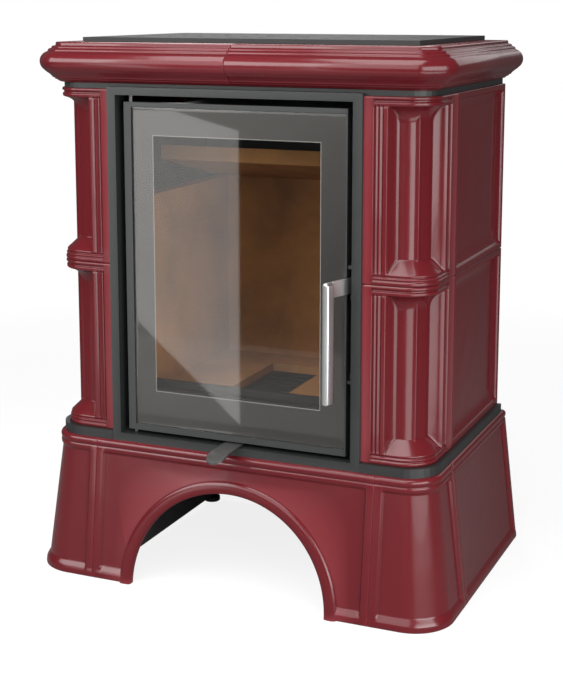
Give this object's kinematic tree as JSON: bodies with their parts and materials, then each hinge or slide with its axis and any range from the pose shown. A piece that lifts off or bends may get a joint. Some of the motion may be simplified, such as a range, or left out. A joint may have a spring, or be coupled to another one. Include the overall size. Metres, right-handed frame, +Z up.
{
  "type": "tiled wood stove",
  "caption": "Free-standing wood stove clad in burgundy glazed tiles, with a glazed hinged door, side latch handle, air lever, arched wood niche and pierced top plate.",
  "frame": {"origin": "middle of the footprint box on the floor: centred left to right, and halfway between the air lever's tip and the flue collar's end", "axes": "+Z up, +Y from the door to the flue outlet at the back, +X to the right as seen from the front"},
  "size_m": [0.8456, 0.608, 1.0398],
  "materials": {
    "burgundy_glaze": "glossy transparent glaze, edges thinner and lighter",
    "stove_enamel": "matt heat-proof paint, dark grey",
    "black_sheet_steel": "matt black heat-proof paint on sheet steel",
    "cast_iron": "dark grey, slightly satin",
    "bright_steel": "brushed, satin",
    "vermiculite": "matt, flaky, tan",
    "seal_rope": "woven glass rope",
    "door_glass": "glossy glass ceramic with a dark printed border"
  },
  "bodies": {
    "root": {"plinth_corner_right": "burgundy_glaze", "plinth_corner_left": "burgundy_glaze", "plinth_side_right": "burgundy_glaze", "plinth_side_left": "burgundy_glaze", "lower_corner_tile_right": "burgundy_glaze", "lower_corner_tile_left": "burgundy_glaze", "upper_corner_tile_right": "burgundy_glaze", "upper_corner_tile_left": "burgundy_glaze", "lower_side_tile_right": "burgundy_glaze", "lower_side_tile_left": "burgundy_glaze", "upper_side_tile_right": "burgundy_glaze", "upper_side_tile_left": "burgundy_glaze", "cornice_right": "burgundy_glaze", "cornice_left": "burgundy_glaze", "plinth_front_arch": "burgundy_glaze", "shelf_band": "stove_enamel", "cornice_carrier": "stove_enamel", "rear_panel": "stove_enamel", "door_surround": "stove_enamel", "firebox_shell": "black_sheet_steel", "air_duct": "black_sheet_steel", "smoke_deflector": "black_sheet_steel", "ash_pan": "black_sheet_steel", "flue_collar": "black_sheet_steel", "niche_ceiling": "black_sheet_steel", "niche_back": "black_sheet_steel", "niche_side_right": "black_sheet_steel", "niche_side_left": "black_sheet_steel", "top_plate": "cast_iron", "hearth_plate": "cast_iron", "grate": "cast_iron", "log_guard": "cast_iron", "front_foot_right": "cast_iron", "front_foot_left": "cast_iron", "rear_foot_right": "cast_iron", "rear_foot_left": "cast_iron", "hinge_pin_lower": "bright_steel", "hinge_pin_upper": "bright_steel", "latch_keeper_lower": "bright_steel", "latch_keeper_upper": "bright_steel", "hearth_lining_right": "vermiculite", "hearth_lining_left": "vermiculite", "side_lining_right": "vermiculite", "side_lining_left": "vermiculite", "back_lining": "vermiculite", "baffle": "vermiculite"},
    "door": {"door_frame": "stove_enamel", "door_glass": "door_glass", "glass_strip_top": "stove_enamel", "glass_strip_bottom": "stove_enamel", "door_seal": "seal_rope", "latch_lug_lower": "stove_enamel", "latch_lug_upper": "stove_enamel"},
    "handle": {"latch_spindle": "bright_steel", "latch_claw_lower": "bright_steel", "latch_claw_upper": "bright_steel", "handle_arm": "bright_steel", "handle_bar": "bright_steel"},
    "air_control": {"air_lever": "bright_steel", "air_slide": "bright_steel"}
  },
  "joints": [
    {"name": "door_hinge", "type": "hinge", "parent": "root", "child": "door", "pos_m": [-0.2121, -0.2, 0.61], "axis": [0, 0, -1], "range_deg": [0, 110]},
    {"name": "handle_turn", "type": "hinge", "parent": "door", "child": "handle", "pos_m": [0.23, -0.2, 0.538], "axis": [0, 0, 1], "range_deg": [0, 25]},
    {"name": "air_lever_slide", "type": "slide", "parent": "root", "child": "air_control", "axis": [0, 1, 0], "range_m": [0, 0.04]}
  ]
}
